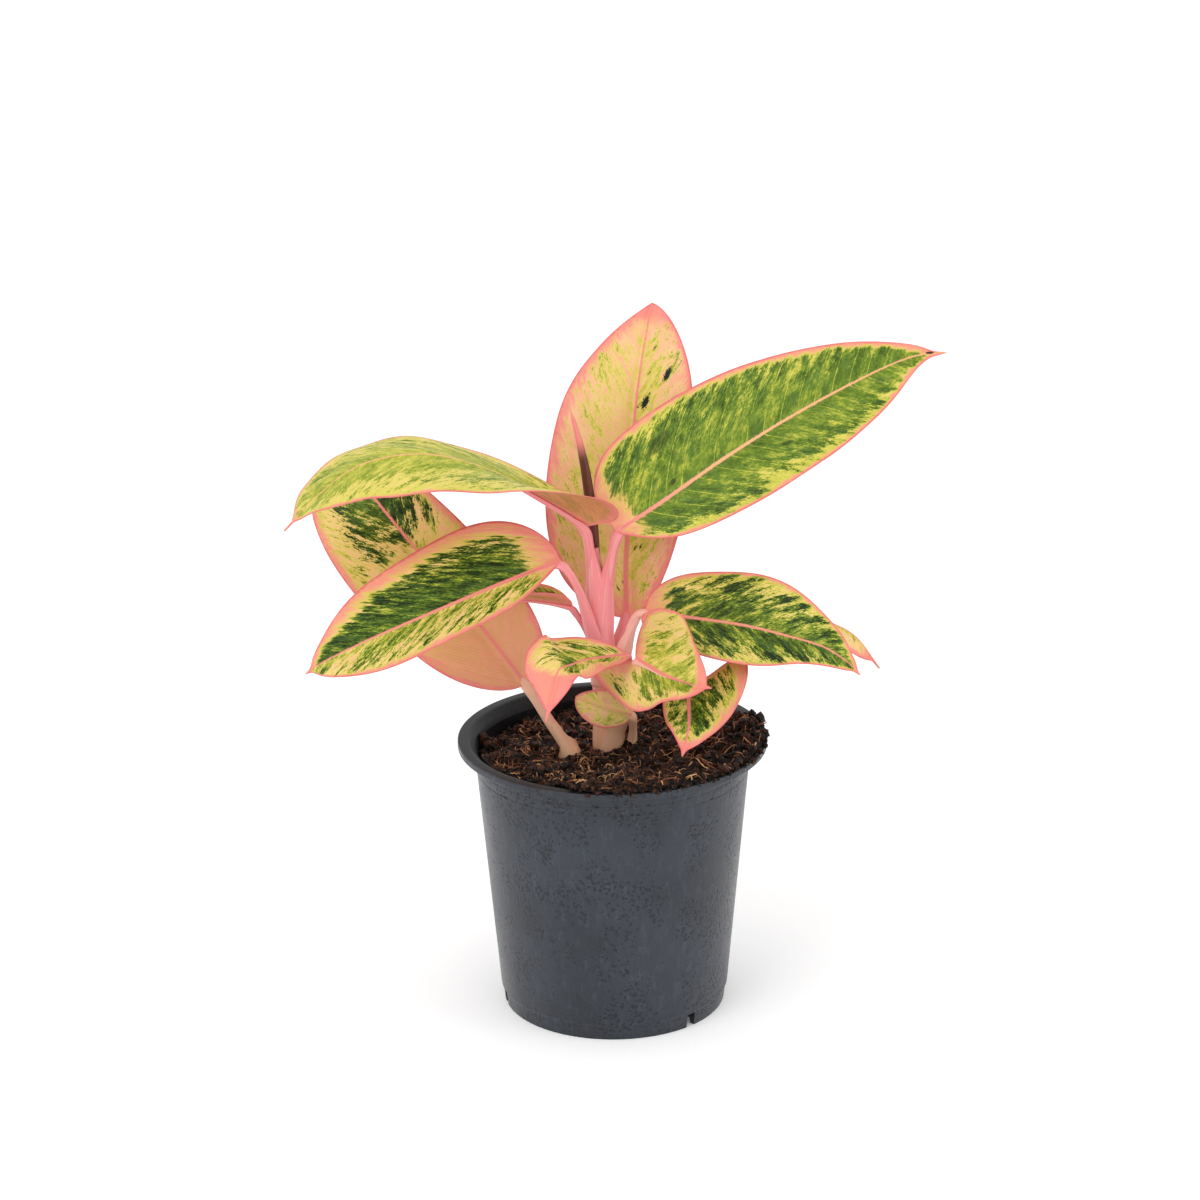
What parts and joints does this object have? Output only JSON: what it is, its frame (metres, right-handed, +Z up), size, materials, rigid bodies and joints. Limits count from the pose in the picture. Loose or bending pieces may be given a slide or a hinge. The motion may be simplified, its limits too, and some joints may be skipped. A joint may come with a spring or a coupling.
{
  "type": "potted chinese evergreen plant",
  "caption": "Potted aroid house plant with salmon-edged, green-marbled leaves in a round black nursery pot.",
  "frame": {"origin": "centre of the pot's underside, on the floor", "axes": "+Z up along the pot's axis; the plant's front faces -Y"},
  "size_m": [0.2513, 0.1223, 0.2663],
  "materials": {
    "pot": "satin dark blue-grey nursery plastic with fine pits",
    "potting_mix": "dark peat with coir fibres",
    "main_stem": "smooth salmon-pink stem, beige at the soil",
    "new_leaf_spear": "rolled maroon leaf with a pink tip",
    "leaf_arching_left": "glossy leaf, salmon edge and midrib, green marbling",
    "leaf_back_left": "glossy leaf, salmon edge and midrib, green marbling",
    "leaf_front_left": "glossy leaf, salmon edge and midrib, green marbling",
    "leaf_tall_back": "glossy leaf, salmon edge and midrib, green marbling",
    "leaf_long_right": "glossy leaf, salmon edge and midrib, green marbling",
    "leaf_right": "glossy leaf, salmon edge and midrib, green marbling",
    "leaf_curled_centre": "glossy leaf, salmon edge and midrib, green marbling",
    "leaf_drooping_left": "glossy leaf, salmon edge and midrib, green marbling",
    "leaf_low_front": "glossy leaf, salmon edge and midrib, green marbling",
    "leaf_drooping_right": "glossy leaf, salmon edge and midrib, green marbling",
    "leaf_far_right": "glossy leaf, salmon edge and midrib, green marbling",
    "leaf_small_left": "glossy leaf, salmon edge and midrib, green marbling"
  },
  "bodies": {
    "root": {"pot": "pot", "potting_mix": "potting_mix", "main_stem": "main_stem", "new_leaf_spear": "new_leaf_spear", "leaf_arching_left": "leaf_arching_left", "leaf_back_left": "leaf_back_left", "leaf_front_left": "leaf_front_left", "leaf_tall_back": "leaf_tall_back", "leaf_long_right": "leaf_long_right", "leaf_right": "leaf_right", "leaf_curled_centre": "leaf_curled_centre", "leaf_drooping_left": "leaf_drooping_left", "leaf_low_front": "leaf_low_front", "leaf_drooping_right": "leaf_drooping_right", "leaf_far_right": "leaf_far_right", "leaf_small_left": "leaf_small_left"}
  },
  "joints": []
}
